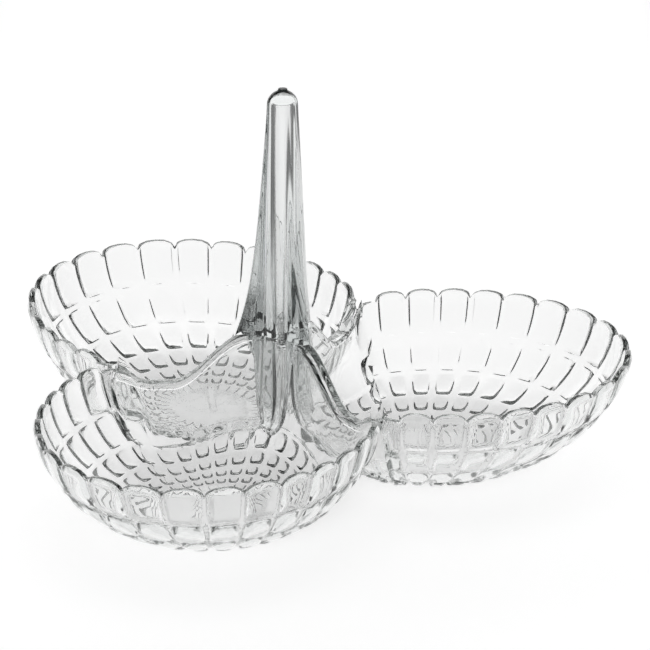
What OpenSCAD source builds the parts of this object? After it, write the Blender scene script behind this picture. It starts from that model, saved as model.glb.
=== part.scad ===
// Chip and dip server: three scallop-rimmed bowls moulded as one clear tray, with a
// lift-off hollow centre handle that a screw and a washer clamp from beneath.
// Origin: on the table, under the handle's axis. +X runs along one bowl, +Z is up.

/* [Bowls] */
// Distance from the handle's axis to the middle of a bowl's rim
rim_c = 81.5; // [78:0.5:86]
// Half length of a rim, towards and away from the handle
rim_long = 92.5; // [88:0.5:96]
// Half width of a rim, across
rim_wide = 82.4; // [78:0.2:84]
// Height of the rim above the table
rim_h = 58.3; // [50:0.1:66]
// Distance from the handle's axis to the middle of a bowl's foot
foot_c = 69; // [66:0.5:72]
// Radius of a bowl's flat foot
foot_r = 21.3; // [18:0.1:26]
// Wall thickness
wall = 3; // [2.5:0.1:3.5]
// Scallops and cell columns in a full turn of a bowl
scallops = 32; // [32]
// Depth of the notches between the scallops
notch = 4.2; // [0:0.1:5]
// How far the last scallops of a bowl lean towards the divider, in degrees
scallop_lean = 1.8; // [0:0.1:2]

/* [Dividers] */
// Height of the tray's middle above the rim
hub_rise = 12; // [8:1:16]
// How far the dividers dip below the rim
ridge_dip = 12.5; // [8:0.5:16]
// Radius of the hub's hollow, before its walls
hub_r = 5.5; // [5:0.1:6]

/* [Handle] */
// Height of the whole server
handle_top = 199.6; // [180:0.1:220]
// Reach of the handle's corners near its top
corner_top_r = 7.6; // [7:0.1:9]
// Radius of the convex rib down each of the handle's sides
rib_r = 7.6; // [7:0.1:9]
// How far a rib stands proud of its side
rib_rise = 1.9; // [1:0.1:2.5]
// Half width of a tongue, above its round tip
tongue_half_w = 6.7; // [6:0.1:9]
// Height of a tongue's tip above the table
tongue_tip_z = 20; // [18:0.5:24]
// Gap between the handle's skirt and the tray
skirt_gap = 0.6; // [0.5:0.05:0.7]
// Radius of the handle's hollow core at its mouth
core_mouth_r = 4.45; // [4.3:0.05:4.6]
// Radius of the core at its closed upper end
core_top_r = 4.25; // [3.8:0.05:4.4]
// Height of the core's closed end above the table
core_top_z = 192.2; // [188:0.1:193]

/* [Fixing] */
// Diameter of the screw's shank
screw_d = 5.2; // [4.8:0.1:5.6]
// Radial clearance of the shank in the tray and the washer
screw_clearance = 0.3; // [0.2:0.05:0.5]
// Radial running clearance of the shank in the insert
thread_clearance = 0.05; // [0.02:0.01:0.1]
// Length of the shank inside the insert
engaged = 8; // [6:1:10]
// Length of the insert in the handle's mouth
insert_h = 10; // [8:1:12]
// Outer radius of the insert
insert_r = 4.42; // [4.2:0.02:4.42]
// Washer thickness
washer_t = 1.4; // [1:0.1:2]
// Washer outer radius
washer_r = 4.6; // [4:0.1:4.8]
// Height of the screw's head
head_h = 3.2; // [2:0.2:4]
// Outer radius of the screw's head
head_r = 4.8; // [4:0.1:5]

/* [Hidden] */
$fn = 64;
bowls = 3;
wedge = 360 / bowls;
half_wedge = wedge / 2;
scallop_step = 360 / scallops;
col_step = scallop_step / 3;
cusp_col = 29;
cusp_a = cusp_col * col_step;
last_notch = 9;
web_a = cusp_a + 0.75;
hub_col_step = 1.5;
fine_col = 44;
hub_cols = 9;
skin_rows = [8, 6];
ridge_half = 0.6;
floor_inset = 1.5;
crown = 1.5;
profile_m = 2.13;
profile_n = 1.62;
hub_profile_gain = 2.7;
hub_z = rim_h + hub_rise;
under_hub_z = hub_z - wall;
seat_r = 7.5;
tiny = 0.01;

// ---- small functions
function clamp01(x) = min(max(x, 0), 1);
function smooth(x) = let (u = clamp01(x)) u * u * (3 - 2 * u);
function mix(p, q, f) = p + (q - p) * f;
function smin(p, q, k) = let (h = max(k - abs(p - q), 0) / k) min(p, q) - h * h * k / 4;
function polar(r, a, z) = [r * cos(a), r * sin(a), z];
function quad(a, b, c, d) = [[a, b, c], [a, c, d]];
function flat(lists) = [for (l = lists) for (item = l) item];

// ---- plan of a bowl: distance from its foot's centre to its edge, at angle a.
// o is 0 for the outer surface and the wall thickness for the inner one.
far = 1000;
divider_from = 80;
corner_blend = 4;
hub_blend = 3;
function rim_reach(a, o) =
    let (p = foot_c - rim_c,
         la = (rim_long - o) ^ 2,
         lb = (rim_wide - o) ^ 2,
         qa = cos(a) ^ 2 / la + sin(a) ^ 2 / lb,
         qb = 2 * p * cos(a) / la,
         qc = p * p / la - 1)
    (-qb + sqrt(qb * qb - 4 * qa * qc)) / (2 * qa);
function divider_reach(a, o) =
    abs(a) < divider_from ? far
    : (foot_c * sin(half_wedge) - ridge_half - o) / cos(abs(a) - half_wedge - 90);
function hub_reach(a, o) =
    let (d = (hub_r + o) ^ 2 - (foot_c * sin(a)) ^ 2)
    abs(a) < 90 || d <= 0 ? far : -foot_c * cos(a) - sqrt(d);
function edge_reach(a, o) =
    smin(smin(rim_reach(a, o), divider_reach(a, o), corner_blend), hub_reach(a, o), hub_blend);

// ---- height of a divider's crest above the rim, s from the axis: it falls from the hub,
// then rises a little towards the rims. Its sides drop away from it by the crown.
fall_from = 18;
fall_over = 38;
end_rise = 6.5;
rise_from = 66;
rise_over = 22;
crown_from = 8;
crown_over = 14;
function ridge_rise(s) =
    mix(hub_rise, -ridge_dip, smooth((s - fall_from) / fall_over))
    + end_rise * smooth((s - rise_from) / rise_over);
function crest_drop(s) = crown * smooth((s - crown_from) / crown_over);
function along_divider(a, r) =
    let (x = foot_c + r * cos(a), y = abs(r * sin(a)))
    x * cos(half_wedge) + y * sin(half_wedge);

// ---- height of a bowl's upper edge at angle a
// The last scallops lean, and past the last notch the rim stays low up to the cusp.
lean_from = 62;
lean_over = 60;
function leaned(a) = a + scallop_lean * smooth((a - lean_from) / lean_over);
notch_angles = [for (i = [0 : last_notch]) leaned(i * scallop_step)];
function scallop_drop(a) =
    abs(a) > cusp_a + tiny ? 0
    : abs(a) > notch_angles[last_notch] - tiny ? notch
    : min([for (n = notch_angles) abs(abs(a) - n)]) < tiny ? notch : 0;
cusp_blend = 8;
function edge_z(a, o) =
    let (r = edge_reach(a, o),
         s = along_divider(a, r),
         ridge = rim_h + ridge_rise(s) - crest_drop(s) - (o > 0 ? 0 : wall))
    abs(a) <= cusp_a + tiny ? rim_h
    : o > 0 ? mix(rim_h, ridge, smooth((abs(a) - cusp_a) / cusp_blend)) : ridge;
steep_from = 105;
function profile_power(a) =
    profile_n + hub_profile_gain * smooth((abs(a) - steep_from) / (180 - steep_from));

// ---- a point of a bowl's surface: angle a, row f from 0 at the edge to 1 at the foot
row_spread = 1.4;
function bowl_point(a, f, o) =
    let (inner = o > 0,
         r0 = inner ? foot_r - floor_inset : foot_r,
         z0 = inner ? wall : 0,
         w = 1 - (1 - f) ^ row_spread,
         g = (1 - w ^ profile_power(a)) ^ (1 / profile_m),
         r = mix(r0, edge_reach(a, o), g),
         z = mix(edge_z(a, o), z0, w) - (f == 0 ? scallop_drop(a) : 0))
    [foot_c + r * cos(a), r * sin(a), z];

// ---- height of the tray's upper surface over a point of the plan
function tray_z(x, y) =
    let (turn = wedge * round(atan2(y, x) / wedge),
         bx = x * cos(turn) + y * sin(turn) - foot_c,
         by = y * cos(turn) - x * sin(turn),
         a = atan2(by, bx),
         r = norm([bx, by]),
         r0 = foot_r - floor_inset,
         reach = edge_reach(a, wall),
         g = clamp01((r - r0) / (reach - r0)),
         w = (1 - g ^ profile_m) ^ (1 / profile_power(a)),
         s = along_divider(a, r))
    r < reach ? mix(edge_z(a, wall), wall, w) : rim_h + ridge_rise(s);
// the same, kept clear by the skirt's gap all round
function skirt_z(x, y) =
    skirt_gap + max([for (a = [0 : 30 : 330])
        tray_z(x + skirt_gap * cos(a), y + skirt_gap * sin(a))]);

// ---- tray: two skins, one inside each bowl and one outside, joined at the rims and crests
half_cols = concat(
    [for (i = [1 : cusp_col - 1]) leaned(i * col_step)],
    [cusp_a, web_a],
    [for (i = [cusp_col + 1 : fine_col]) i * col_step],
    [for (i = [1 : hub_cols]) fine_col * col_step + i * hub_col_step]);
half_n = len(half_cols);
cols = concat([for (i = [half_n - 1 : -1 : 0]) -half_cols[i]], [0], half_cols, [180]);
col_n = len(cols);
zero_col = half_n;
cusp_i = cusp_col - 1;
divider_n = half_n - cusp_i;
function skin_n(side) = col_n * (skin_rows[side] + 1) + 1;
function skin_0(side, k) = side * bowls * skin_n(0) + k * skin_n(side);
function turned(p, k) = [
    p[0] * cos(k * wedge) - p[1] * sin(k * wedge),
    p[0] * sin(k * wedge) + p[1] * cos(k * wedge), p[2]];
function skin_points(side, k) = let (o = side == 0 ? wall : 0, n = skin_rows[side]) concat(
    [for (a = cols) for (i = [0 : n]) turned(bowl_point(a, i / n, o), k)],
    [turned([foot_c, 0, o], k)]);
function ridge_points(k, o) = [for (i = [0 : divider_n - 1])
    let (a = half_cols[cusp_i + i],
         s = along_divider(a, edge_reach(a, o)),
         z = rim_h + ridge_rise(s) - (o > 0 ? 0 : crest_drop(s) + wall))
    polar(s, half_wedge + k * wedge, z)];
tray_points = concat(
    flat([for (side = [0, 1], k = [0 : bowls - 1]) skin_points(side, k)]),
    flat([for (k = [0 : bowls - 1]) ridge_points(k, wall)]),
    flat([for (k = [0 : bowls - 1]) ridge_points(k, 0)]),
    [[0, 0, hub_z], [0, 0, hub_z - wall]]);
function skin_at(side, k, j, i) =
    skin_0(side, k % bowls) + ((j + col_n) % col_n) * (skin_rows[side] + 1) + i;
function foot_at(side, k) = skin_0(side, k) + skin_n(side) - 1;
ridge_0 = bowls * (skin_n(0) + skin_n(1));
function ridge_at(side, k, i) =
    ridge_0 + (side * bowls + (k + bowls) % bowls) * divider_n + i;
function axis_at(side) = ridge_0 + 2 * bowls * divider_n + side;
function plus_col(i) = zero_col + 1 + cusp_i + i;
function minus_col(i) = zero_col - 1 - cusp_i - i;
// side 0 is the upper skin and side 1 the lower one, which faces the other way
function turn_face(side, f) = side == 0 ? f : [f[2], f[1], f[0]];
function skin_faces(side, k) = flat([for (j = [0 : col_n - 1]) concat(
    flat([for (i = [0 : skin_rows[side] - 1]) quad(
        skin_at(side, k, j, i), skin_at(side, k, j, i + 1),
        skin_at(side, k, j + 1, i + 1), skin_at(side, k, j + 1, i))]),
    [[skin_at(side, k, j, skin_rows[side]), foot_at(side, k),
        skin_at(side, k, j + 1, skin_rows[side])]])]);
function crest_faces(side, k) = concat(
    flat([for (i = [0 : divider_n - 2]) concat(
        quad(skin_at(side, k, plus_col(i), 0), skin_at(side, k, plus_col(i + 1), 0),
            ridge_at(side, k, i + 1), ridge_at(side, k, i)),
        quad(ridge_at(side, k, i), ridge_at(side, k, i + 1),
            skin_at(side, k + 1, minus_col(i + 1), 0), skin_at(side, k + 1, minus_col(i), 0)))]),
    [[skin_at(side, k, col_n - 2, 0), skin_at(side, k, col_n - 1, 0),
        ridge_at(side, k, divider_n - 1)],
     [ridge_at(side, k, divider_n - 1), skin_at(side, k, col_n - 1, 0), axis_at(side)],
     [skin_at(side, k, col_n - 1, 0), skin_at(side, k, 0, 0),
        ridge_at(side, k - 1, divider_n - 1)],
     [skin_at(side, k, col_n - 1, 0), ridge_at(side, k - 1, divider_n - 1), axis_at(side)]]);
function rim_faces(k) = concat(
    flat([for (j = [minus_col(0) : plus_col(0) - 1]) quad(
        skin_at(0, k, j, 0), skin_at(0, k, j + 1, 0),
        skin_at(1, k, j + 1, 0), skin_at(1, k, j, 0))]),
    [[ridge_at(0, k, 0), skin_at(1, k, plus_col(0), 0), skin_at(0, k, plus_col(0), 0)],
     [ridge_at(0, k, 0), ridge_at(1, k, 0), skin_at(1, k, plus_col(0), 0)],
     [ridge_at(0, k, 0), skin_at(1, k + 1, minus_col(0), 0), ridge_at(1, k, 0)],
     [ridge_at(0, k, 0), skin_at(0, k + 1, minus_col(0), 0),
        skin_at(1, k + 1, minus_col(0), 0)]]);
tray_faces = concat(
    [for (side = [0, 1], k = [0 : bowls - 1])
        for (f = concat(skin_faces(side, k), crest_faces(side, k))) turn_face(side, f)],
    [for (k = [0 : bowls - 1]) for (f = rim_faces(k)) f]);

module bowl_tray()
    color("aliceblue")
    difference() {
        polyhedron(tray_points, tray_faces);
        translate([0, 0, under_hub_z - 1])
            cylinder(h = wall + 2, r = screw_d / 2 + screw_clearance);
    }

// ---- handle: heights zr are above the rim
dome_h = 7.6;
nub_r = 2.35;
nub_h = 0.8;
nub_edge = 0.4;
top_zr = handle_top - nub_h - dome_h - rim_h;
corner_taper = 0.075;
corner_flare = 7.4;
corner_flare_h = 22;
rib_taper = 0.0465;
rib_low_taper = 0.085;
rib_low_zr = 34;
function corner_r(zr) =
    corner_top_r + corner_taper * (top_zr - zr)
    + corner_flare * exp((hub_rise - zr) / corner_flare_h);
function crest_r(zr) =
    rib_r + rib_taper * (top_zr - max(zr, rib_low_zr)) + rib_low_taper * max(rib_low_zr - zr, 0);
tongue_round_h = 14;
tongue_round_z = tongue_tip_z + tongue_round_h;
tongue_taper = 0.126;
tongue_fade_z = rim_h + 3;
tongue_fade = 0.6;
function tongue_w(z) =
    z < tongue_round_z
    ? tongue_half_w * sqrt(max(0, 1 - ((tongue_round_z - z) / tongue_round_h) ^ 2))
    : tongue_half_w + tongue_taper * (z - tongue_round_z)
        + tongue_fade * max(0, z - tongue_fade_z) ^ 2;
rib_end_h = 3;
rib_end_over = 5;
corner_blend_r = 1.2;
crease = 0.8;
function smax(p, q, k) = -smin(-p, -q, k);
// outline at height z, at angle a from the middle of the nearest side: a rounded triangle
// with a convex rib down the middle of each side
function handle_r(a, z) =
    let (zr = min(z - rim_h, top_zr),
         crest = crest_r(zr),
         side = smin((crest - rib_rise) / cos(a), corner_r(max(zr, hub_rise - 2)),
            corner_blend_r),
         rib_end = 1 - smooth((z - tongue_tip_z - rib_end_h) / rib_end_over),
         c = crest - rib_r - rib_rise * rib_end,
         rib = c * cos(a) + sqrt(max(rib_r ^ 2 - (c * sin(a)) ^ 2, 0)),
         r = smax(side, rib, crease))
    a < 1 ? r : min(r, tongue_w(z) / sin(a));
spoke_step = 5;
fine_step = spoke_step / 2;
fine_reach = 15;
spokes = flat([for (k = [0 : bowls - 1]) for (t = [0 : spoke_step : wedge - spoke_step])
    t >= half_wedge - fine_reach && t < half_wedge + fine_reach
    ? [k * wedge + t, k * wedge + t + fine_step]
    : [k * wedge + t]]);
spoke_n = len(spokes);
function from_side(t) = abs(t - wedge * round(t / wedge));
// where the outline comes down to the tray, found by halving
function skirt_foot(t, lo, hi, n) =
    let (z = (lo + hi) / 2, r = handle_r(from_side(t), z))
    n == 0 ? z
    : z > skirt_z(r * cos(t), r * sin(t)) ? skirt_foot(t, lo, z, n - 1)
    : skirt_foot(t, z, hi, n - 1);
under_rows = 7;
side_rows = 18;
side_growth = 1.2;
evenness = 0.15;
brim_inset = 0.3;
foot_inset = 1;
brim_drop = 0.2;
search_below = 2;
search_above = 3;
fine_search = 20;
coarse_search = 12;
dome_rows = 4;
nub_rows = 2;
core_rows = 2;
seat_rows = 2;
nub_lift = acos(nub_r / corner_top_r);
base_z = rim_h + top_zr;
// height of the skirt's underside along spoke t, and the reach where it has gone a share f
// of the way out and down from its brim, p[0] out and p[1] up, to its foot q
function under_z(r, t) = skirt_z(r * cos(t), r * sin(t));
function under_share(r, t, p, q) =
    ((r - p[0]) / (q[0] - p[0]) + (p[1] - under_z(r, t)) / max(p[1] - q[1], 1)) / 2;
function under_r(t, p, q, f, lo, hi, n) =
    let (r = (lo + hi) / 2)
    n == 0 ? r
    : under_share(r, t, p, q) > f ? under_r(t, p, q, f, lo, r, n - 1)
    : under_r(t, p, q, f, r, hi, n - 1);
function brim_r(t, lo, hi, n) =
    let (r = (lo + hi) / 2)
    n == 0 ? r
    : under_z(r, t) < hub_z + skirt_gap - brim_drop ? brim_r(t, lo, r, n - 1)
    : brim_r(t, r, hi, n - 1);
function spoke_points(t) =
    let (a = from_side(t),
         foot_z = skirt_foot(t, tongue_tip_z - search_below, hub_z + search_above, fine_search),
         foot = [handle_r(a, foot_z), foot_z],
         brim = [brim_r(t, seat_r + brim_inset, foot[0] - foot_inset, coarse_search),
            hub_z + skirt_gap])
    concat(
        [polar(core_top_r, t, core_top_z), polar(core_mouth_r, t, hub_z)],
        [polar(seat_r, t, hub_z), polar(brim[0], t, brim[1])],
        [for (i = [1 : under_rows - 1])
            let (f = i / under_rows,
                 r = mix(under_r(t, brim, foot, f, brim[0], foot[0], coarse_search),
                    mix(brim[0], foot[0], f), evenness))
            polar(r, t, min(under_z(r, t), brim[1]))],
        [polar(foot[0], t, foot_z)],
        [for (i = [1 : side_rows])
            let (z = mix(foot_z, base_z, (i / side_rows) ^ side_growth))
            polar(handle_r(a, z), t, z)],
        [for (i = [1 : dome_rows])
            let (lift = nub_lift * i / dome_rows,
                 r = mix(handle_r(a, base_z), corner_top_r, i / dome_rows))
            polar(r * cos(lift), t, base_z + dome_h * sin(lift))],
        [polar(nub_r, t, handle_top - nub_edge), polar(nub_r - nub_edge, t, handle_top)]);
spoke_rows = core_rows + seat_rows + under_rows + side_rows + dome_rows + nub_rows;
handle_points = concat(
    flat([for (t = spokes) spoke_points(t)]), [[0, 0, core_top_z], [0, 0, handle_top]]);
function spoke_at(j, i) = (j % spoke_n) * spoke_rows + i;
handle_core = spoke_n * spoke_rows;
handle_crown = handle_core + 1;
handle_faces = flat([for (j = [0 : spoke_n - 1]) concat(
    flat([for (i = [0 : spoke_rows - 2]) quad(
        spoke_at(j, i), spoke_at(j, i + 1), spoke_at(j + 1, i + 1), spoke_at(j + 1, i))]),
    [[handle_core, spoke_at(j, 0), spoke_at(j + 1, 0)],
     [handle_crown, spoke_at(j + 1, spoke_rows - 1), spoke_at(j, spoke_rows - 1)]])]);

module handle()
    color("azure")
    polyhedron(handle_points, handle_faces);

module threaded_insert()
    color("lightblue")
    translate([0, 0, hub_z])
    difference() {
        cylinder(h = insert_h, r = insert_r);
        translate([0, 0, -1])
            cylinder(h = insert_h + 2, r = screw_d / 2 + thread_clearance);
    }

module sealing_washer()
    color("whitesmoke")
    translate([0, 0, under_hub_z - washer_t])
    difference() {
        cylinder(h = washer_t, r = washer_r);
        translate([0, 0, -1])
            cylinder(h = washer_t + 2, r = screw_d / 2 + screw_clearance);
    }

// ---- screw: a round slotted head, and a shank that goes up through the tray's hub
slot_w = 1.2;
slot_depth = 1.4;
head_z = under_hub_z - washer_t - head_h;
module clamp_screw()
    color("lightcyan")
    translate([0, 0, head_z]) {
        difference() {
            cylinder(h = head_h, r = head_r);
            translate([-head_r - 1, -slot_w / 2, -1])
                cube([2 * head_r + 2, slot_w, slot_depth + 1]);
        }
        translate([0, 0, head_h - 1])
            cylinder(h = hub_z + engaged - head_z - head_h + 1, d = screw_d);
    }

bowl_tray();
handle();
threaded_insert();
sealing_washer();
clamp_screw();
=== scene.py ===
"""Looks for the chip and dip server: three scalloped bowls moulded as one clear tray, a
hollow clear handle, and the threaded bush, washer and screw that hold it. Lengths are in
millimetres until a mesh is made. Angles are in radians, written as degrees times RAD."""

import bmesh
import bpy
import numpy as np
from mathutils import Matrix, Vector


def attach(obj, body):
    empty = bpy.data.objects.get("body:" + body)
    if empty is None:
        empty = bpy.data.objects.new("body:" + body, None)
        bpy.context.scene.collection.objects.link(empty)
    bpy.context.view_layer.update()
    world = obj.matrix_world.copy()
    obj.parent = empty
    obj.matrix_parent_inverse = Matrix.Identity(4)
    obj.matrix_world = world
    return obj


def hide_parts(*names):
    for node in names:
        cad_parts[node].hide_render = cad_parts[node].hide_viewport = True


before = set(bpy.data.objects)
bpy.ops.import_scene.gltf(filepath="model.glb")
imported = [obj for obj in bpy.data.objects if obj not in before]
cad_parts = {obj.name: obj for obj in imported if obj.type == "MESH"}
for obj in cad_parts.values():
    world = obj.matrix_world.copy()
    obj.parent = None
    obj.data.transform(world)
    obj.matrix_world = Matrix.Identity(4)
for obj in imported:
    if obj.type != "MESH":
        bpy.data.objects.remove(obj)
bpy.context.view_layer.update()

MM = 0.001
RAD = np.pi / 180
TURN = 2 * np.pi
WEDGE = TURN / 3
FAR = 1000.0
SLACK = 1e-6

# ---- the tray's own sizes. A pair is where a change begins and how far it takes
# A bowl's rim is an ellipse about a point RIM_C from the hub, and its foot is a circle
RIM_C, RIM_LONG, RIM_WIDE, RIM_H = 81.5, 92.5, 82.4, 58.3
FOOT_C, FOOT_R, WALL, FLOOR_INSET = 69.0, 21.3, 3.0, 1.5
# The wall's profile bulges, and more so on the hub's side (a pair in degrees)
PROFILE_M, PROFILE_N, HUB_GAIN, HUB_SIDE = 2.13, 1.62, 2.7, (105, 75)
# A divider's crest falls from the hub, then climbs again, and its lower edges are rounded
HUB_R, HUB_RISE, RIDGE_HALF = 5.5, 12.0, 0.6
RIDGE_DIP, DIP_ALONG = 12.5, (18, 38)
RIDGE_CLIMB, CLIMB_ALONG = 6.5, (66, 22)
CROWN, CROWN_ALONG = 1.5, (8, 14)
# Seen from a foot's centre: where a divider faces, and the angles past which a divider and
# the hub can be in the way
DIVIDER_FACE, DIVIDER_FROM, HUB_FROM = 150 * RAD, 80 * RAD, 90 * RAD
LEAST_LEAN, DIVIDER_BLEND, HUB_BLEND = 0.1, 4, 3
HUB_Z = RIM_H + HUB_RISE
# The scalloped rim ends at the cusp, beside the web that joins two rims
COLUMNS = 32
STEP = TURN / COLUMNS
CUSP, WEB, CUSP_EASE = 108.75 * RAD, 109.5 * RAD, 8 * RAD
NOTCH, LAST_NOTCH, LOBE_INNER, LOBE_OUTER = 4.2, 9, 2.6, 0.62
WIDEN, WIDEN_FROM, WIDEN_BACK = 1.8, (62, 60), (122, 58)


def smooth(x):
    u = np.clip(x, 0, 1)
    return u * u * (3 - 2 * u)


def ease(x, start, length):
    """0 up to start, 1 from start + length on, and smooth between."""
    return smooth((x - start) / length)


def mix(p, q, f):
    return p + (q - p) * f


def smin(p, q, k):
    """The lesser of two numbers, blended where they are less than k apart."""
    h = np.maximum(k - np.abs(p - q), 0) / k
    return np.minimum(p, q) - h * h * k / 4


def reach(angle, inset):
    """Distance from a foot's centre to its bowl's edge; inset is 0 outside, WALL inside."""
    angle = np.abs(angle)
    shift = FOOT_C - RIM_C
    long_sq, wide_sq = (RIM_LONG - inset) ** 2, (RIM_WIDE - inset) ** 2
    qa = np.cos(angle) ** 2 / long_sq + np.sin(angle) ** 2 / wide_sq
    qb = 2 * shift * np.cos(angle) / long_sq
    qc = shift * shift / long_sq - 1
    rim = (-qb + np.sqrt(qb * qb - 4 * qa * qc)) / (2 * qa)
    lean = np.maximum(np.cos(angle - DIVIDER_FACE), LEAST_LEAN)
    gap = FOOT_C * np.sin(WEDGE / 2) - RIDGE_HALF - inset
    divider = np.where(angle < DIVIDER_FROM, FAR, gap / lean)
    chord = (HUB_R + inset) ** 2 - (FOOT_C * np.sin(angle)) ** 2
    to_hub = -FOOT_C * np.cos(angle) - np.sqrt(np.maximum(chord, 0))
    hub = np.where((angle < HUB_FROM) | (chord <= 0), FAR, to_hub)
    return smin(smin(rim, divider, DIVIDER_BLEND), hub, HUB_BLEND)


def ridge_rise(along):
    """Height of a divider's crest over the rim's level, at a distance from the hub."""
    return mix(HUB_RISE, -RIDGE_DIP, ease(along, *DIP_ALONG)) + RIDGE_CLIMB * ease(along, *CLIMB_ALONG)


def crest_drop(along):
    return CROWN * ease(along, *CROWN_ALONG)


def along_divider(angle, r):
    """Distance from the hub, along the nearest divider, of a point of a bowl."""
    x, y = FOOT_C + r * np.cos(angle), np.abs(r * np.sin(angle))
    return x * np.cos(WEDGE / 2) + y * np.sin(WEDGE / 2)


def edge_z(angle, inset):
    """Height of a skin's edge: level up to the cusp, then along the divider."""
    angle = np.abs(angle)
    along = along_divider(angle, reach(angle, inset))
    ridge = RIM_H + ridge_rise(along) - crest_drop(along) - (0 if inset > 0 else WALL)
    if inset > 0:
        ridge = mix(RIM_H, ridge, ease(angle, CUSP, CUSP_EASE))
    return np.where(angle <= CUSP + SLACK, RIM_H, ridge)


def power(angle):
    return PROFILE_N + HUB_GAIN * ease(np.abs(angle) / RAD, *HUB_SIDE)


def bowl_rz(angle, depth, inset):
    """Reach and height on a bowl's skin; depth is the share from its edge to its foot."""
    r0, z0 = (FOOT_R - FLOOR_INSET, WALL) if inset > 0 else (FOOT_R, 0.0)
    g = np.maximum(1 - depth ** power(angle), 0) ** (1 / PROFILE_M)
    return mix(r0, reach(angle, inset), g), mix(edge_z(angle, inset), z0, depth)


def column_at(angle):
    """Which column an angle is in, as a running number; those near the cusp are wider."""
    degrees = np.abs(angle) / RAD
    shift = WIDEN * ease(degrees, *WIDEN_FROM) * (1 - ease(degrees, *WIDEN_BACK))
    return (degrees - shift) * RAD / STEP


def lobe_drop(angle):
    """How far the scalloped rim is below its lobes' tips: round lobes with small notches,
    then a low plain stretch up to the divider."""
    n = column_at(angle)
    share = np.abs(n - np.round(n)) * 2
    lobe = (1 - (1 - share) ** LOBE_INNER) ** LOBE_OUTER
    drop = np.where(n < LAST_NOTCH, NOTCH * (1 - lobe), NOTCH)
    return np.where(np.abs(angle) <= CUSP + SLACK, drop, 0.0)


# ---- meshes
def new_object(name, points, faces):
    mesh = bpy.data.meshes.new(name)
    mesh.from_pydata((np.asarray(points, float) * MM).tolist(), [], faces)
    mesh.validate()
    mesh.update()
    obj = bpy.data.objects.new(name, mesh)
    bpy.context.scene.collection.objects.link(obj)
    return obj


def combine(target, other, operation):
    """A boolean of two closed meshes, applied to the first; the second goes."""
    mod = target.modifiers.new("cut", "BOOLEAN")
    mod.operation = operation
    mod.solver = "MANIFOLD"
    mod.object = other
    depsgraph = bpy.context.evaluated_depsgraph_get()
    result = bpy.data.meshes.new_from_object(target.evaluated_get(depsgraph))
    target.modifiers.clear()
    target.data = result
    bpy.data.objects.remove(other)


def shade(obj, sharp_deg):
    obj.data.shade_smooth()
    obj.data.set_sharp_from_angle(angle=sharp_deg * RAD)


def steady_normals(obj):
    """Splits many-sided faces and turns every face outwards."""
    bm = bmesh.new()
    bm.from_mesh(obj.data)
    bmesh.ops.triangulate(bm, faces=[f for f in bm.faces if len(f.verts) > 4])
    bmesh.ops.recalc_face_normals(bm, faces=bm.faces)
    bm.to_mesh(obj.data)
    bm.free()
    return obj


def lathe(name, profile, sides, closed=False):
    """Revolves points (reach, height) about Z. A closed profile makes a ring."""
    points, faces = [], []
    n = len(profile)
    for j in range(sides):
        t = TURN * j / sides
        points += [(r * np.cos(t), r * np.sin(t), z) for r, z in profile]
    for j in range(sides):
        k = (j + 1) % sides
        for i in range(n if closed else n - 1):
            m = (i + 1) % n
            faces.append((j * n + i, k * n + i, k * n + m, j * n + m))
    if not closed:
        faces.append([j * n for j in range(sides)][::-1])
        faces.append([j * n + n - 1 for j in range(sides)])
    return steady_normals(new_object(name, points, faces))


def rings(rows, angles):
    """Points round Z, one ring per (radius, height); both may vary round their ring."""
    cos, sin = np.cos(angles), np.sin(angles)
    return np.array([np.stack([r * cos, r * sin, z + 0 * angles], -1) for r, z in rows])


def rounded(r, z, edge):
    """The end of a profile that rounds off towards an upper corner at r, z."""
    turns = np.arange(1, 7) * np.pi / 12
    return [(r - edge * (1 - np.cos(q)), z - edge * (1 - np.sin(q))) for q in turns]


class Builder:
    """Collects the points and faces of one mesh."""

    def __init__(self):
        self.points, self.faces, self.count = [], [], 0

    def add(self, p):
        """Adds points and returns their numbers, in the same array shape."""
        p = np.asarray(p, float)
        n = int(np.prod(p.shape[:-1]))
        ids = np.arange(self.count, self.count + n).reshape(p.shape[:-1])
        self.points.append(p.reshape(-1, 3))
        self.count += n
        return ids

    def strip(self, grid, flip=False, wrap=False):
        """Quads over a grid of point numbers, rows x columns."""
        g = np.concatenate([grid, grid[:, :1]], 1) if wrap else grid
        quads = np.stack([g[:-1, :-1], g[1:, :-1], g[1:, 1:], g[:-1, 1:]], -1).reshape(-1, 4)
        if flip:
            quads = quads[:, ::-1]
        for q in quads.tolist():
            face = [v for n, v in enumerate(q) if v != q[n - 1]]
            if len(face) > 2:
                self.faces.append(face)

    def fan(self, ring, centre, flip=False):
        """Triangles from a closed ring of points to its middle."""
        for j in range(len(ring)):
            face = [int(ring[j]), int(centre), int(ring[(j + 1) % len(ring)])]
            self.faces.append(face[::-1] if flip else face)

    def taper(self, row, end, flip=False):
        """Triangles from an open row of points to one end point."""
        for p, q in zip(row[:-1], row[1:]):
            face = [int(p), int(q), int(end)]
            self.faces.append(face[::-1] if flip else face)

    def cap(self, ring, height, flip=False):
        self.fan(ring, self.add([[0, 0, height]])[0], flip)

    def piece(self, name):
        return steady_normals(new_object(name, np.concatenate(self.points), self.faces))


def rod(name, rows, sides):
    """A closed solid about Z from rows of radius and height; a radius may vary round it."""
    mesh = Builder()
    grid = mesh.add(rings(rows, TURN * np.arange(sides) / sides))
    mesh.strip(grid, wrap=True)
    mesh.cap(grid[0], rows[0][1])
    mesh.cap(grid[-1], rows[-1][1], flip=True)
    return mesh.piece(name)


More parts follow.
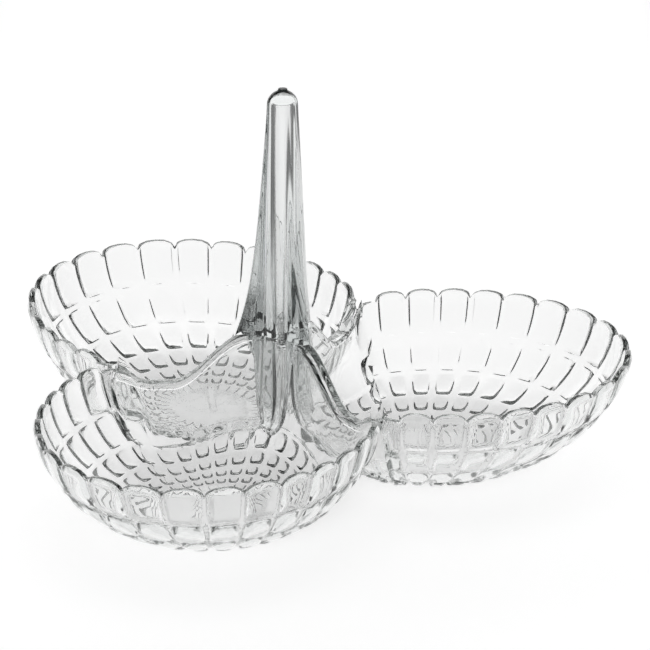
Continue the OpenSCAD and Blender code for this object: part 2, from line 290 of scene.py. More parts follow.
# ---- tray: 32 columns and seven rows of cells on each bowl. Samples stand at the edges of
# grooves and bevels, whose widths are in millimetres, so their angles differ row by row
GROOVE, BEVEL, GROOVE_SHARE, BEVEL_SHARE = 0.95, 1.4, 0.09, 0.2
ROW_EDGES = np.array([0.405, 0.685, 0.84, 0.922, 0.966, 0.99])
TOP_ROWS, CELL_ROWS = (0, 0.06, 0.16, 0.32, 0.5, 0.7, 0.87), (0.3, 0.7)
PILLOW, SINK, DOME, BULGE = 0.8, 0.8, 1.1, 2.4
CORNER, CORNER_SHARE = 4.0, 0.6
COLUMN_FADE, ROW_FADE, FOOT_FADE, RIM_FADE = 0.15, 0.03, 0.004, 1.6
RIM_ROUND, RIM_SQUARE, RIM_SWELL, RIM_STEPS = 0.45, 0.6, 0.7, 11
CREST_SHARES, CREST_ROUND = (0.93, 0.8, 0.62, 0.4, 0.2), 2.6
INNER_ROWS = 19
CUSP_COLUMN = LAST_NOTCH
MIDDLE, CUSP_MIDDLE = (0.2, 0.5, 0.8), (0.2, 0.54, 0.63, 0.82)
# Samples in a plain column, and which of the cusp's column is the cusp itself
SAMPLES, CUSP_SAMPLE = 12, 6
SLOPE_STEP, SLOPE_MOST = 0.02, 60

fine_angles = np.linspace(0, np.pi, 2001)
fine_columns = column_at(fine_angles)
dense = np.unique(np.concatenate([np.linspace(0, np.pi, 361), [CUSP, WEB, WEB - 1e-4]]))
depths = 1 - (1 - np.linspace(0, 1, 500)) ** 2.2


def angle_of(n):
    """The angle where column number n begins."""
    return np.interp(n, fine_columns, fine_angles)


def column_angles(widths):
    """Angles of the samples from 0 to pi in a row, from its columns' widths; and for each
    sample its distance from the groove, the bevel's width and half the pillow's."""
    angles, across = [], []
    for c in range(COLUMNS // 2):
        width = widths[c]
        groove, bevel = min(GROOVE, GROOVE_SHARE * width), min(BEVEL, BEVEL_SHARE * width)
        near = [0.0, groove, groove + bevel / 3, groove + bevel * 2 / 3, groove + bevel]
        inner = CUSP_MIDDLE if c == CUSP_COLUMN else MIDDLE
        inner = [mix(near[-1], width - near[-1], f) for f in inner]
        for x in near + inner + [width - x for x in near[:0:-1]]:
            angles.append(float(angle_of(c + x / width)))
            across.append((min(x, width - x) - groove, bevel, width / 2 - groove))
    angles.append(np.pi)
    across.append((-groove, bevel, width / 2 - groove))
    return np.array(angles), np.array(across)


def rim_start(angle, arc, inset):
    """Arc where a skin begins, below the rounded rim."""
    top = edge_z(angle, inset) - (WALL if inset > 0 else 0)
    drop = lobe_drop(angle) + RIM_ROUND if angle <= CUSP + SLACK else 0.0
    return np.interp(drop / top, depths, arc)


def place_outer(angle, arc):
    """Arcs of the outer rows, and for each its distance from the groove, the bevel's width,
    half the cell's height and its distance below the rim."""
    start, end = rim_start(angle, arc, 0), arc[-1]
    edges = np.interp(ROW_EDGES, depths, arc)
    heights = np.diff(np.concatenate([[start], edges, [end]]))
    lesser = np.minimum(heights[:-1], heights[1:])
    groove = np.minimum(GROOVE, GROOVE_SHARE * lesser)
    bevel = np.minimum(BEVEL, BEVEL_SHARE * lesser)
    rows, info = [], []

    def add(s, away, bevel_here, half):
        rows.append(s)
        info.append((away, bevel_here, half, s - start))

    for i, height in enumerate(heights):
        first, last = i == 0, i == len(edges)
        low = start if first else edges[i - 1] + groove[i - 1] + bevel[i - 1]
        high = end if last else edges[i] - groove[i] - bevel[i]
        half = height / 2
        for share in TOP_ROWS if first else CELL_ROWS:
            s = mix(low, high, share)
            up = FAR if first else s - edges[i - 1] - groove[i - 1]
            down = FAR if last else edges[i] - groove[i] - s
            add(s, min(up, down), bevel[min(i, len(bevel) - 1)], half)
        if last:
            add(end, end - low, bevel[-1], half)
        else:
            for k in (-3, -2, -1, 1, 2, 3):
                away = np.sign(k) * (groove[i] + bevel[i] * (abs(k) - 1) / 3)
                add(edges[i] + away, abs(away) - groove[i], bevel[i], half)
    return np.array(rows), np.array(info)


def place_inner(angle, arc):
    start = rim_start(angle, arc, WALL)
    rows = mix(start, arc[-1], np.linspace(0, 1, INNER_ROWS))
    return rows, np.zeros((INNER_ROWS, 4))


def arc_rows(inset, place):
    """Depth shares of the rows at every dense angle; place(angle, arc) gives their arcs,
    measured down the skin, and what cell_lift needs to know of them."""
    shares, extra = [], []
    for angle in dense:
        r, z = bowl_rz(angle, depths, inset)
        arc = np.concatenate([[0], np.cumsum(np.hypot(np.diff(r), np.diff(z)))])
        rows, info = place(angle, arc)
        shares.append(np.interp(rows, arc, depths))
        extra.append(info)
    return np.array(shares).T, np.array(extra).transpose(1, 0, 2)


def cell_lift(angle, depth, across, away, bevel, half, past):
    """Height of the moulded cells over the plain skin: pillows with grooves between. The
    last four are the row's own distances, and across has the column's."""
    away_x, bevel_x, half_x = across.T
    corner = np.minimum(CORNER, CORNER_SHARE * np.minimum(half_x, half))
    qx, qy = np.maximum(corner - away_x, 0), np.maximum(corner - away, 0)
    plain = np.minimum(away_x, away)
    inside = np.where((qx > 0) & (qy > 0), corner - np.hypot(qx, qy), plain)
    step = smooth(inside / np.minimum(bevel_x, bevel))
    bulge = 1 - np.clip(1 - away_x / half_x, 0, 1) ** BULGE
    bulge = bulge * (1 - np.clip(1 - away / half, 0, 1) ** BULGE)
    size = np.minimum(np.minimum(bevel_x, bevel) / BEVEL, 1)
    height = size * (PILLOW * step + DOME * bulge * step - SINK)
    n = column_at(angle)
    top_row = 1 - smooth((n - LAST_NOTCH) / COLUMN_FADE)
    second = 1 - smooth((n - LAST_NOTCH - 1) / COLUMN_FADE)
    second = second * smooth((depth - ROW_EDGES[0] + ROW_FADE) / ROW_FADE)
    lower = smooth((depth - ROW_EDGES[1] + ROW_FADE) / ROW_FADE)
    shown = np.maximum(np.maximum(top_row, second), lower) * smooth((1 - depth) / FOOT_FADE)
    return height * shown * smooth(past / RIM_FADE)


def skin_normals(p):
    """Unit normals of a grid of points that is closed sideways, pointing out of the bowl."""
    along = np.gradient(p, axis=0)
    around = np.roll(p, -1, 1) - np.roll(p, 1, 1)
    n = np.cross(along, around)
    n /= np.maximum(np.linalg.norm(n, axis=-1, keepdims=True), 1e-9)
    out = p - np.array([FOOT_C, 0, RIM_H])
    flip = np.sign((n * out).sum(-1, keepdims=True))
    return n * np.where(flip == 0, 1, flip)


def from_foot(r, angle, z):
    """Points at reach r from the first bowl's foot centre."""
    return np.stack([FOOT_C + r * np.cos(angle), r * np.sin(angle), z + 0 * angle], -1)


def skin_grid(inset):
    """Points of one bowl's skin as an array of rows x columns x 3, and their angles."""
    shares, info = arc_rows(inset, place_inner if inset > 0 else place_outer)
    centres = (np.arange(COLUMNS // 2) + 0.5) * STEP
    points, angles, lifts = [], [], []
    for i, share in enumerate(shares):
        depth = np.interp(centres, dense, share)
        r = bowl_rz(centres, depth, 0)[0]
        beside = bowl_rz(centres + SLOPE_STEP, depth, 0)[0]
        slope = np.clip((beside - r) / SLOPE_STEP, -SLOPE_MOST, SLOPE_MOST)
        half, across = column_angles(STEP * np.hypot(r, slope))
        if i == 0:
            k = CUSP_COLUMN * SAMPLES + CUSP_SAMPLE
            half[k], half[k + 1] = CUSP, WEB
        angle = np.concatenate([-half[1:-1][::-1], half])
        across = np.concatenate([across[1:-1][::-1], across])
        depth = np.interp(np.abs(angle), dense, share)
        r, z = bowl_rz(angle, depth, inset)
        points.append(from_foot(r, angle, z))
        angles.append(angle)
        if inset == 0:
            row = [np.interp(np.abs(angle), dense, info[i][:, q]) for q in range(4)]
            lifts.append(cell_lift(angle, depth, across, *row))
    points, angles = np.array(points), np.array(angles)
    if inset == 0:
        points = points + skin_normals(points) * np.array(lifts)[..., None]
        points[..., 2] = np.maximum(points[..., 2], 0)
    return points, angles


def turned(p, k):
    """Points of the first bowl moved to bowl k."""
    c, s = np.cos(k * WEDGE), np.sin(k * WEDGE)
    return np.stack([p[..., 0] * c - p[..., 1] * s, p[..., 0] * s + p[..., 1] * c, p[..., 2]], -1)


def add_bowl(mesh, inner, outer, foot_angles, k):
    """Adds a bowl's two skins, floor and foot, and returns the skins' point numbers."""
    inside, outside = mesh.add(turned(inner, k)), mesh.add(turned(outer, k))
    floor_mid = mesh.add(turned(np.array([[FOOT_C, 0, WALL]]), k))[0]
    foot_mid = mesh.add(turned(np.array([[FOOT_C, 0, 0.0]]), k))[0]
    mesh.strip(inside, wrap=True)
    mesh.strip(outside, flip=True, wrap=True)
    ring = mesh.add(turned(from_foot(FOOT_R * 0.5, foot_angles, WALL), k))
    mesh.strip(np.stack([inside[-1], ring]), wrap=True)
    mesh.fan(ring, floor_mid)
    mesh.fan(outside[-1], foot_mid, flip=True)
    return inside, outside


def add_rim(mesh, first, last, angles, k):
    """Adds the rounded rim, from the inner skin's first row to the outer skin's."""
    rows = [first]
    for turn in np.linspace(0, np.pi, RIM_STEPS)[1:-1]:
        side = np.sign(np.cos(turn)) * np.abs(np.cos(turn)) ** RIM_SQUARE
        r = reach(angles, WALL / 2 * (1 + side))
        z = RIM_H - lobe_drop(angles) - RIM_ROUND * (1 - np.sin(turn) ** RIM_SWELL)
        rows.append(mesh.add(turned(from_foot(r, angles, z), k)))
    grid = np.stack(rows + [last])
    mesh.strip(grid, flip=True)
    return grid


def crest_line(along, z, k):
    """Points straight above the divider between bowl k and the next one."""
    d = (k + 0.5) * WEDGE
    return np.stack([along * np.cos(d), along * np.sin(d), z], -1)


def add_crest(mesh, edge, edge_points, top, top_points, flip):
    """Adds one rounded side of a divider's crest, from a bowl's edge to the top line."""
    rows = [edge]
    drop = top_points[:, 2] - edge_points[:, 2]
    for share in CREST_SHARES:
        p = mix(top_points, edge_points, share)
        fall = 1 - (1 - share ** CREST_ROUND) ** (1 / CREST_ROUND)
        p[:, 2] = top_points[:, 2] - drop * fall
        rows.append(mesh.add(p))
    grid = np.stack(rows + [top])
    mesh.strip(grid, flip=flip)
    return grid


def build_tray():
    inner, inner_angles = skin_grid(WALL)
    outer, outer_angles = skin_grid(0)
    angles = outer_angles[0]
    middle = int(np.argmin(np.abs(angles)))
    cusp = int(np.argmin(np.abs(angles[middle:] - CUSP)))
    hub = len(angles) - 1
    rim = slice(middle - cusp, middle + cusp + 1)
    mesh = Builder()
    ins, outs, rims = [], [], []
    for k in range(3):
        inside, outside = add_bowl(mesh, inner, outer, inner_angles[-1], k)
        ins.append(inside)
        outs.append(outside)
        rims.append(add_rim(mesh, inside[0][rim], outside[0][rim], angles[rim], k))
    # the dividers' crests and undersides, from the cusp to the hub
    plus = np.arange(middle + cusp, hub)
    minus = np.arange(middle - cusp, -1, -1)
    top_along = along_divider(angles[plus], reach(angles[plus], WALL))
    low_along = along_divider(angles[plus], reach(angles[plus], 0))
    top_z = RIM_H + ridge_rise(top_along)
    low_z = RIM_H + ridge_rise(low_along) - crest_drop(low_along) - WALL
    tops, lows = [], []
    for k in range(3):
        tops.append(mesh.add(crest_line(top_along, top_z, k)))
        lows.append(mesh.add(crest_line(low_along, low_z, k)))
    hub_top = mesh.add([[0, 0, HUB_Z]])[0]
    hub_low = mesh.add([[0, 0, HUB_Z - WALL]])[0]
    for k in range(3):
        m = (k + 1) % 3
        top_points = crest_line(top_along, top_z, k)
        ends = []
        for bowl, columns, near in ((k, plus, True), (m, minus, False)):
            edge_points = turned(inner[0], bowl)[columns]
            edge = ins[bowl][0][columns]
            crest = add_crest(mesh, edge, edge_points, tops[k], top_points, flip=near)
            ends.append(crest[:, 0])
            mesh.taper([*crest[:, -1], hub_top], ins[bowl][0][hub], flip=near)
            under = np.stack([outs[bowl][0][columns], lows[k]])
            mesh.strip(under, flip=not near)
            mesh.taper([*under[:, -1], hub_low], outs[bowl][0][hub], flip=not near)
        # the little web where two rims meet
        web = [*ends[0][::-1], *rims[k][1:, -1], lows[k][0], *rims[m][::-1, 0], *ends[1][1:-1]]
        mesh.faces.append([int(v) for v in web])
    return mesh.piece("clear_tray")


# ---- the fixing's own sizes
SCREW_R, BORE_R, ENGAGED, TIP_STEP = 2.6, 2.9, 8.0, 0.1
WASHER_T, WASHER_R, WASHER_EDGE = 1.4, 4.6, 0.35
HEAD_H, HEAD_R, HEAD_EDGE = 3.2, 4.8, 0.4
SLOT_W, SLOT_DEPTH, SLOT_EDGE = 1.2, 1.4, 0.2
INSERT_H, INSERT_R, INSERT_BORE, INSERT_EDGE, INSERT_UP = 10.0, 4.42, 2.65, 0.3, 0.1
PITCH, THREAD_DEPTH, THREAD_FLAT = 1.0, 0.35, 0.1
WASHER_TOP = HUB_Z - WALL
HEAD_TOP = WASHER_TOP - WASHER_T
HEAD_LOW = HEAD_TOP - HEAD_H
ROUND_SIDES, BORE_SIDES, NUB_SIDES = 128, 96, 48


def finish_tray():
    tray = build_tray()
    bore = lathe("bore", [(BORE_R, WASHER_TOP - 2), (BORE_R, HUB_Z + 2)], BORE_SIDES)
    combine(tray, bore, "DIFFERENCE")
    shade(tray, 38)
    return tray


# ---- handle
HANDLE_TOP, DOME_H, NUB_R, NUB_H, NUB_EDGE = 199.6, 7.6, 2.35, 0.8, 0.45
BASE_Z = HANDLE_TOP - NUB_H - DOME_H
TOP_ZR = BASE_Z - RIM_H
# Fins at the corners and a rib down each side, which all get wider towards the tray
FIN_TOP_R, FIN_TAPER, FIN_FOOT, FIN_FADE = 7.6, 0.075, 7.4, 22
RIB_R, RIB_RISE, RIB_TAPER, RIB_FLARE, FLARE_H = 7.6, 1.9, 0.0465, 0.085, 34
RIB_END, RIB_FADE, CREASE, CORNER_BLEND = 3, 5, 0.8, 1.2
CORE_R, CORE_TOP_R, CORE_TOP, CORE_EDGE = 4.45, 4.25, 192.2, 0.5
TONGUE_HALF, TONGUE_TIP, TONGUE_ROUND = 6.7, 20.0, 14
TONGUE_FLARE, TONGUE_SPREAD, TONGUE_TOP = 0.126, 0.6, 3
SKIRT_GAP, SEAT_R, SEAT_GAP, BRIM_INSET, BRIM_DROP = 0.5, 7.5, 0.06, 0.3, 0.2
UNDER_ROWS, SIDE_ROWS, DOME_ROWS, SIDE_GROWTH = 18, 90, 12, 1.15
FINE_SEARCH, SEARCH = 26, 16
# From the middle of a side to a corner, closest together over the crease beside the rib
SIXTH = np.concatenate([np.linspace(0, 18, 9), np.linspace(19, 35, 25), np.linspace(37, 49, 7),
                        np.linspace(50, 60, 12)]) * RAD


def tray_z(x, y):
    """Height of the tray's plain upper surface."""
    turn = WEDGE * np.round(np.arctan2(y, x) / WEDGE)
    bx = x * np.cos(turn) + y * np.sin(turn) - FOOT_C
    by = y * np.cos(turn) - x * np.sin(turn)
    angle, r = np.arctan2(by, bx), np.hypot(bx, by)
    r0 = FOOT_R - FLOOR_INSET
    edge = reach(angle, WALL)
    g = np.clip((r - r0) / (edge - r0), 0, 1)
    depth = np.maximum(1 - g ** PROFILE_M, 0) ** (1 / power(angle))
    ridge = RIM_H + ridge_rise(along_divider(angle, r))
    return np.where(r < edge, mix(edge_z(angle, WALL), WALL, depth), ridge)


def skirt_z(x, y):
    """Height that keeps the handle's underside clear of the tray all round a point."""
    around = np.arange(12) * TURN / 12
    return SKIRT_GAP + np.max([tray_z(x + SKIRT_GAP * np.cos(t), y + SKIRT_GAP * np.sin(t))
                               for t in around], axis=0)


def tongue_w(z):
    """Half width of a tongue, which is round at its tip and spreads out above the rim."""
    round_z = TONGUE_TIP + TONGUE_ROUND
    share = (round_z - z) / (round_z - TONGUE_TIP)
    low = TONGUE_HALF * np.sqrt(np.maximum(0, 1 - share ** 2))
    spread = TONGUE_SPREAD * np.maximum(0, z - RIM_H - TONGUE_TOP) ** 2
    return np.where(z < round_z, low, TONGUE_HALF + TONGUE_FLARE * (z - round_z) + spread)


def handle_r(a, z):
    """Outline of the handle at height z, at angle a from the middle of the nearest side: a
    rounded triangle with a convex rib down the middle of each side."""
    zr = np.minimum(z - RIM_H, TOP_ZR)
    crest = RIB_R + RIB_TAPER * (TOP_ZR - np.maximum(zr, FLARE_H))
    crest = crest + RIB_FLARE * np.maximum(FLARE_H - zr, 0)
    zf = np.maximum(zr, HUB_RISE - 2)
    corner = FIN_TOP_R + FIN_TAPER * (TOP_ZR - zf) + FIN_FOOT * np.exp((HUB_RISE - zf) / FIN_FADE)
    side = smin((crest - RIB_RISE) / np.cos(a), corner, CORNER_BLEND)
    c = crest - RIB_R - RIB_RISE * (1 - smooth((z - TONGUE_TIP - RIB_END) / RIB_FADE))
    rib = c * np.cos(a) + np.sqrt(np.maximum(RIB_R ** 2 - (c * np.sin(a)) ** 2, 0))
    r = -smin(-side, -rib, CREASE)
    return np.where(a < RAD, r, np.minimum(r, tongue_w(z) / np.sin(np.maximum(a, RAD))))


def halve(low, high, above, steps):
    """Narrows low..high to where above(x) turns true."""
    for _ in range(steps):
        middle = (low + high) / 2
        yes = above(middle)
        high, low = np.where(yes, middle, high), np.where(yes, low, middle)
    return (low + high) / 2


def build_core():
    """The handle's hollow core, open below."""
    rows = [(CORE_R, HUB_Z - 1), (CORE_R, HUB_Z)]
    rows += [(mix(CORE_R, CORE_TOP_R, f), mix(HUB_Z, CORE_TOP - CORE_EDGE, f))
             for f in np.linspace(0.1, 1, 12)]
    return rod("core", rows + rounded(CORE_TOP_R, CORE_TOP, CORE_EDGE), ROUND_SIDES)


def build_handle():
    half = np.concatenate([SIXTH, WEDGE - SIXTH[-2:0:-1]])
    angles = np.concatenate([half + k * WEDGE for k in range(3)])
    a = np.abs(angles - WEDGE * np.round(angles / WEDGE))
    cos, sin = np.cos(angles), np.sin(angles)
    ones = np.ones(len(angles))

    def skirt(r):
        return skirt_z(r * cos, r * sin)

    foot_z = halve(ones * (TONGUE_TIP - 2), ones * (HUB_Z + 3),
                   lambda z: z > skirt(handle_r(a, z)), FINE_SEARCH)
    foot_r = handle_r(a, foot_z)
    brim_z = HUB_Z + SKIRT_GAP
    brim_r = halve(ones * (SEAT_R + BRIM_INSET), foot_r - BRIM_INSET,
                   lambda r: skirt(r) < brim_z - BRIM_DROP, SEARCH)
    rows = [(ones * SEAT_R, ones * (HUB_Z + SEAT_GAP)), (brim_r, ones * brim_z)]
    for i in range(1, UNDER_ROWS):

        def past(r):
            out = (r - brim_r) / (foot_r - brim_r)
            down = (brim_z - skirt(r)) / np.maximum(brim_z - foot_z, 1)
            return (out + down) / 2 > i / UNDER_ROWS

        r = halve(brim_r, foot_r, past, SEARCH)
        rows.append((r, np.minimum(skirt(r), brim_z)))
    rows.append((foot_r, foot_z))
    for i in range(1, SIDE_ROWS + 1):
        z = mix(foot_z, BASE_Z, (i / SIDE_ROWS) ** SIDE_GROWTH)
        rows.append((handle_r(a, z), z))
    for i in range(1, DOME_ROWS):
        lift = np.pi / 2 * i / DOME_ROWS
        r = np.cos(lift) * mix(handle_r(a, ones * BASE_Z), FIN_TOP_R, 0.5 * i / DOME_ROWS)
        rows.append((r, ones * (BASE_Z + DOME_H * np.sin(lift))))
    mesh = Builder()
    grid = mesh.add(rings(rows, angles))
    mesh.strip(grid, wrap=True)
    mesh.cap(grid[0], HUB_Z + SEAT_GAP)
    mesh.cap(grid[-1], BASE_Z + DOME_H, flip=True)
    handle = mesh.piece("clear_handle")
    nub = [(NUB_R, BASE_Z), (NUB_R, HANDLE_TOP - NUB_EDGE)] + rounded(NUB_R, HANDLE_TOP, NUB_EDGE)
    combine(handle, lathe("nub", nub, NUB_SIDES), "UNION")
    combine(handle, build_core(), "DIFFERENCE")
    shade(handle, 40)
    return handle


# ---- the fixing
def thread(z, angle, low, high):
    """Depth of a V thread at a height and angle, fading out at its two ends."""
    phase = np.abs((z / PITCH - angle / TURN) % 1 - 0.5) * 2
    ends = np.clip((z - low) / PITCH, 0, 1) * np.clip((high - z) / PITCH, 0, 1)
    return THREAD_DEPTH * np.clip((phase - THREAD_FLAT) / (1 - 2 * THREAD_FLAT), 0, 1) * ends


def build_insert():
    """The bush in the core's mouth: plain outside, threaded inside."""
    angles = TURN * np.arange(ROUND_SIDES) / ROUND_SIDES
    low, high, edge = HUB_Z + INSERT_UP, HUB_Z + INSERT_H, INSERT_EDGE
    rows = [(INSERT_BORE + edge, low), (INSERT_R - edge, low), (INSERT_R, low + edge),
            (INSERT_R, high - edge), (INSERT_R - edge, high), (INSERT_BORE + edge, high)]
    rows += [(INSERT_BORE + thread(z, angles, low, high), z)
             for z in np.arange(high - edge, low + edge, -PITCH / 8)]
    mesh = Builder()
    grid = mesh.add(rings(rows, angles))
    mesh.strip(np.concatenate([grid, grid[:1]]), wrap=True)
    insert = mesh.piece("threaded_bush")
    shade(insert, 40)
    return insert


def build_washer():
    low, high, edge = HEAD_TOP, WASHER_TOP, WASHER_EDGE
    profile = []
    for r, z, start in ((BORE_R + edge, low + edge, 180), (WASHER_R - edge, low + edge, 270),
                        (WASHER_R - edge, high - edge, 0), (BORE_R + edge, high - edge, 90)):
        for q in (0, 30, 60, 90):
            turn = (start + q) * RAD
            profile.append((r + edge * np.cos(turn), z + edge * np.sin(turn)))
    washer = lathe("silicone_washer", profile, BORE_SIDES, closed=True)
    shade(washer, 60)
    return washer


def build_slot():
    """The bar that cuts the screwdriver's slot across the head."""
    long, half, top, edge = HEAD_R + 1, SLOT_W / 2, HEAD_LOW + SLOT_DEPTH, SLOT_EDGE
    outline = [(-half, HEAD_LOW - 1), (half, HEAD_LOW - 1), (half, top - edge),
               (half - edge, top), (-half + edge, top), (-half, top - edge)]
    mesh = Builder()
    ends = mesh.add([[(x, y, z) for y, z in outline] for x in (-long, long)])
    mesh.strip(ends, wrap=True)
    mesh.faces += [ends[0].tolist()[::-1], ends[1].tolist()]
    return mesh.piece("slot")


def build_screw():
    """A slotted round head and a shank whose upper end is threaded."""
    angles = TURN * np.arange(ROUND_SIDES) / ROUND_SIDES
    edge = HEAD_EDGE
    rows = [(HEAD_R - edge, HEAD_LOW), (HEAD_R - edge * 0.3, HEAD_LOW + edge * 0.3),
            (HEAD_R, HEAD_LOW + edge), (HEAD_R, HEAD_TOP - edge / 2),
            (HEAD_R - edge / 2, HEAD_TOP), (SCREW_R, HEAD_TOP)]
    low, high = HUB_Z - 1, HUB_Z + ENGAGED
    rows += [(SCREW_R - thread(z, angles, low, high), z)
             for z in np.arange(low, high - edge, PITCH / 8)]
    rows += [(SCREW_R - TIP_STEP, high - edge), (SCREW_R - TIP_STEP - edge, high)]
    screw = rod("round_screw", rows, ROUND_SIDES)
    combine(screw, build_slot(), "DIFFERENCE")
    shade(screw, 40)
    return screw


# ---- materials
def node(tree, kind, **inputs):
    """A new node with its inputs set; an underscore stands for a space in their names."""
    n = tree.nodes.new(kind)
    for name, value in inputs.items():
        n.inputs[name.replace("_", " ")].default_value = value
    return n


def bump_from(tree, height, strength, distance, shader):
    bump = node(tree, "ShaderNodeBump", Strength=strength, Distance=distance)
    tree.links.new(height, bump.inputs["Height"])
    tree.links.new(bump.outputs["Normal"], shader.inputs["Normal"])


def clear_plastic(name, tint, density, roughness, waves=0.1):
    """Clear moulded acrylic: faint flow lines and handling marks, a tint that shows in
    thick sections, and a gloss that varies a little."""
    mat = bpy.data.materials.new(name)
    mat.use_nodes = True
    tree = mat.node_tree
    tree.nodes.clear()
    out = tree.nodes.new("ShaderNodeOutputMaterial")
    shader = node(tree, "ShaderNodeBsdfPrincipled", Base_Color=(1, 1, 1, 1),
                  Transmission_Weight=1, IOR=1.49)
    tree.links.new(shader.outputs["BSDF"], out.inputs["Surface"])
    volume = node(tree, "ShaderNodeVolumeAbsorption", Color=tint, Density=density)
    tree.links.new(volume.outputs["Volume"], out.inputs["Volume"])
    coords = tree.nodes.new("ShaderNodeTexCoord")
    marks = node(tree, "ShaderNodeTexNoise", Scale=90.0, Detail=5.0, Roughness=0.6)
    tree.links.new(coords.outputs["Object"], marks.inputs["Vector"])
    gloss = node(tree, "ShaderNodeMapRange", From_Min=0.35, From_Max=0.75,
                 To_Min=roughness * 0.5, To_Max=roughness * 1.5)
    tree.links.new(marks.outputs["Fac"], gloss.inputs["Value"])
    tree.links.new(gloss.outputs["Result"], shader.inputs["Roughness"])
    flow = node(tree, "ShaderNodeTexNoise", Scale=55.0, Detail=1.5, Distortion=0.6)
    tree.links.new(coords.outputs["Object"], flow.inputs["Vector"])
    bump_from(tree, flow.outputs["Fac"], waves, 0.0002, shader)
    return mat


def silicone(name):
    """Milky, slightly see-through silicone with a fine grain."""
    mat = bpy.data.materials.new(name)
    mat.use_nodes = True
    tree = mat.node_tree
    shader = tree.nodes["Principled BSDF"]
    coords = tree.nodes.new("ShaderNodeTexCoord")
    grain = node(tree, "ShaderNodeTexNoise", Scale=900.0, Detail=4.0)
    tree.links.new(coords.outputs["Object"], grain.inputs["Vector"])
    ramp = tree.nodes.new("ShaderNodeValToRGB")
    ramp.color_ramp.elements[0].color = (0.72, 0.74, 0.74, 1)
    ramp.color_ramp.elements[1].color = (0.88, 0.9, 0.9, 1)
    tree.links.new(grain.outputs["Fac"], ramp.inputs["Fac"])
    tree.links.new(ramp.outputs["Color"], shader.inputs["Base Color"])
    shader.inputs["Roughness"].default_value = 0.45
    shader.inputs["Transmission Weight"].default_value = 0.35
    shader.inputs["Subsurface Weight"].default_value = 0.3
    shader.inputs["Subsurface Radius"].default_value = (0.002, 0.002, 0.002)
    bump_from(tree, grain.outputs["Fac"], 0.15, 0.0001, shader)
    return mat


# Tints and densities were chosen against the photo; they aren't measured values
GREEN = (0.62, 0.8, 0.72, 1)
TRAY_GREY = (0.785, 0.8, 0.793, 1)
HANDLE_GREY = (0.785, 0.8, 0.797, 1)
tray, handle, washer, screw, insert = (
    finish_tray(), build_handle(), build_washer(), build_screw(), build_insert())
for piece, body, cad_node, slot in ((tray, "tray", "bowl_tray", "tray_acrylic"),
                                    (handle, "handle", "handle", "handle_acrylic"),
                                    (insert, "handle", "threaded_insert", "insert_acrylic"),
                                    (washer, "washer", "sealing_washer", "washer_silicone"),
                                    (screw, "screw", "clamp_screw", "screw_acrylic")):
    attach(piece, body)
    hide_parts(cad_node)
for piece, mat in ((tray, clear_plastic("moulded_acrylic", TRAY_GREY, 45.0, 0.01)),
                   (handle, clear_plastic("handle_acrylic", HANDLE_GREY, 85.0, 0.004, 0.03)),
                   (insert, clear_plastic("insert_acrylic", GREEN, 3.0, 0.03)),
                   (screw, clear_plastic("screw_acrylic", GREEN, 3.0, 0.03)),
                   (washer, silicone("milky_silicone"))):
    piece.data.materials.clear()
    piece.data.materials.append(mat)

# ---- floor, light and camera. Lengths here are in metres
AZIMUTH, ELEVATION, DISTANCE = -4.0 * RAD, 22.65 * RAD, 2.62
LENS, AIM_RIGHT, AIM_UP = 290.6, 0.0207, 0.0147
FLOOR_R, FLOOR_SIDES, FLOOR_Z, PAPER = 1.3, 96, -0.0003, 0.9
GLOW, SKY, WALL_LEVEL = 0.83, 0.08, 1.5
# The floor's painted shade: full level in the band, falling to SIDE_LEVEL at its sides and in front
BAND_CENTRE, BAND_HALF, BAND_SOFT, SIDE_LEVEL = 0.02, 0.165, 0.16, 0.2
BAND_FRONT, FRONT_SOFT = -0.46, 0.3
# Painted contact shadows: size, grey level and set-back of the patch under each bowl
SHADOW_SPAN, SHADOW_LEVEL, SHADOW_BACK = (0.03, 0.08), 0.74, 0.028


def smooth_range(tree, source, low, high, start=0.0, end=1.0):
    """start where the source is below low, end where it is above high, eased between."""
    n = node(tree, "ShaderNodeMapRange", From_Min=low, From_Max=high, To_Min=start, To_Max=end)
    n.interpolation_type = "SMOOTHSTEP"
    tree.links.new(source, n.inputs["Value"])
    return n.outputs["Result"]


def maths(tree, operation, *sources):
    n = tree.nodes.new("ShaderNodeMath")
    n.operation = operation
    for place, source in zip(n.inputs, sources):
        if isinstance(source, (int, float)):
            place.default_value = source
        else:
            tree.links.new(source, place)
    return n.outputs["Value"]


def split_coords(tree, kind):
    """Texture coordinates of one kind, whole and split into X, Y and Z."""
    coords = tree.nodes.new("ShaderNodeTexCoord").outputs[kind]
    split = tree.nodes.new("ShaderNodeSeparateXYZ")
    tree.links.new(coords, split.inputs["Vector"])
    return coords, split.outputs


def painted_shadow_patch(tree, coords, k):
    """A grey patch that stands in for the contact shadow of bowl k, set back from it."""
    patch = node(tree, "ShaderNodeVectorMath")
    patch.operation = "DISTANCE"
    turn = k * WEDGE - AZIMUTH
    patch.inputs[1].default_value = (FOOT_C * MM * np.cos(turn),
                                     FOOT_C * MM * np.sin(turn) + SHADOW_BACK, 0)
    tree.links.new(coords, patch.inputs[0])
    return smooth_range(tree, patch.outputs["Value"], *SHADOW_SPAN, SHADOW_LEVEL, 1.0)


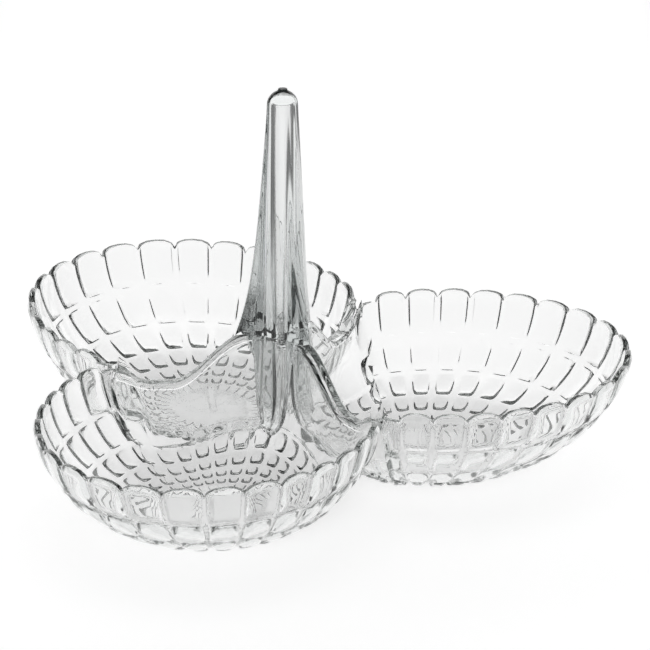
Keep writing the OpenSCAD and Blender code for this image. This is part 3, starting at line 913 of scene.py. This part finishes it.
def glowing_paper():
    """The floor glows like a light table: white in a band under and behind the server, with
    painted shade in its glow and colour that makes it grey at the sides and in front, and a
    painted contact shadow patch under each bowl. It suits the main view only."""
    mat = bpy.data.materials.new("pale_floor")
    mat.use_nodes = True
    tree = mat.node_tree
    shader = tree.nodes["Principled BSDF"]
    coords, axes = split_coords(tree, "Object")
    # Painted shade: the floor's glow and colour fall to SIDE_LEVEL at its sides and in front
    aside = maths(tree, "ABSOLUTE", maths(tree, "SUBTRACT", axes["X"], BAND_CENTRE))
    aside = smooth_range(tree, aside, BAND_HALF, BAND_HALF + BAND_SOFT)
    front = smooth_range(tree, axes["Y"], BAND_FRONT - FRONT_SOFT, BAND_FRONT, 1.0, 0.0)
    level = smooth_range(tree, maths(tree, "MAXIMUM", aside, front), 0.0, 1.0, 1.0, SIDE_LEVEL)
    # Painted contact shadows: a grey patch under each bowl darkens the glow and colour further
    for k in range(3):
        level = maths(tree, "MULTIPLY", level, painted_shadow_patch(tree, coords, k))
    colour = tree.nodes.new("ShaderNodeCombineColor")
    for channel in ("Red", "Green", "Blue"):
        tree.links.new(maths(tree, "MULTIPLY", level, PAPER), colour.inputs[channel])
    tree.links.new(colour.outputs["Color"], shader.inputs["Base Color"])
    tree.links.new(maths(tree, "MULTIPLY", level, GLOW), shader.inputs["Emission Strength"])
    shader.inputs["Roughness"].default_value = 0.9
    shader.inputs["Specular IOR Level"].default_value = 0.1
    shader.inputs["Emission Color"].default_value = (1, 1, 1, 1)
    return mat


def make_floor():
    corners = [(FLOOR_R * np.cos(q) / MM, FLOOR_R * np.sin(q) / MM, FLOOR_Z / MM)
               for q in np.linspace(0, TURN, FLOOR_SIDES + 1)[:-1]]
    floor = new_object("floor", corners, [list(range(FLOOR_SIDES))])
    floor.data.materials.append(glowing_paper())
    floor.rotation_euler.z = AZIMUTH


def make_world():
    """The surroundings: a white wall behind, and dim everywhere else."""
    world = bpy.data.worlds.new("studio")
    bpy.context.scene.world = world
    world.use_nodes = True
    tree = world.node_tree
    tree.nodes.clear()
    back = tree.nodes.new("ShaderNodeBackground")
    out = tree.nodes.new("ShaderNodeOutputWorld")
    axes = split_coords(tree, "Generated")[1]
    behind = smooth_range(tree, axes["Y"], 0.45, 0.75)
    under = smooth_range(tree, axes["Z"], 0.45, 0.6, 1.0, 0.0)
    wall = maths(tree, "MULTIPLY", behind, under)
    tree.links.new(smooth_range(tree, wall, 0.0, 1.0, SKY, WALL_LEVEL), back.inputs["Strength"])
    tree.links.new(back.outputs["Background"], out.inputs["Surface"])


def softbox(name, place, target, size, power_w):
    data = bpy.data.lights.new(name, "AREA")
    data.shape = "RECTANGLE"
    data.size, data.size_y = size
    data.energy = power_w
    lamp = bpy.data.objects.new(name, data)
    lamp.location = place
    lamp.rotation_euler = (Vector(target) - Vector(place)).to_track_quat("-Z", "Y").to_euler()
    bpy.context.scene.collection.objects.link(lamp)


def make_camera():
    right = Vector((np.cos(AZIMUTH), np.sin(AZIMUTH), 0))
    ahead = Vector((-np.sin(AZIMUTH) * np.cos(ELEVATION), np.cos(AZIMUTH) * np.cos(ELEVATION),
                    -np.sin(ELEVATION)))
    aim = Vector((0, 0, RIM_H * MM)) + right * AIM_RIGHT + right.cross(ahead) * AIM_UP
    data = bpy.data.cameras.new("camera")
    data.lens = LENS
    data.sensor_width = 36
    data.clip_end = 50
    camera = bpy.data.objects.new("camera", data)
    camera.location = aim - ahead * DISTANCE
    camera.rotation_euler = ahead.to_track_quat("-Z", "Y").to_euler()
    bpy.context.scene.collection.objects.link(camera)
    bpy.context.scene.camera = camera


make_floor()
make_world()
softbox("overhead", (0, 0.3, 2.4), (0, 0, 0.05), (2.2, 1.6), 5)
make_camera()
bpy.context.scene.view_settings.view_transform = "Standard"
cycles = bpy.context.scene.cycles
cycles.max_bounces = 32
cycles.transmission_bounces = 32
cycles.glossy_bounces = 12
cycles.diffuse_bounces = 3
cycles.caustics_refractive = True
cycles.caustics_reflective = False
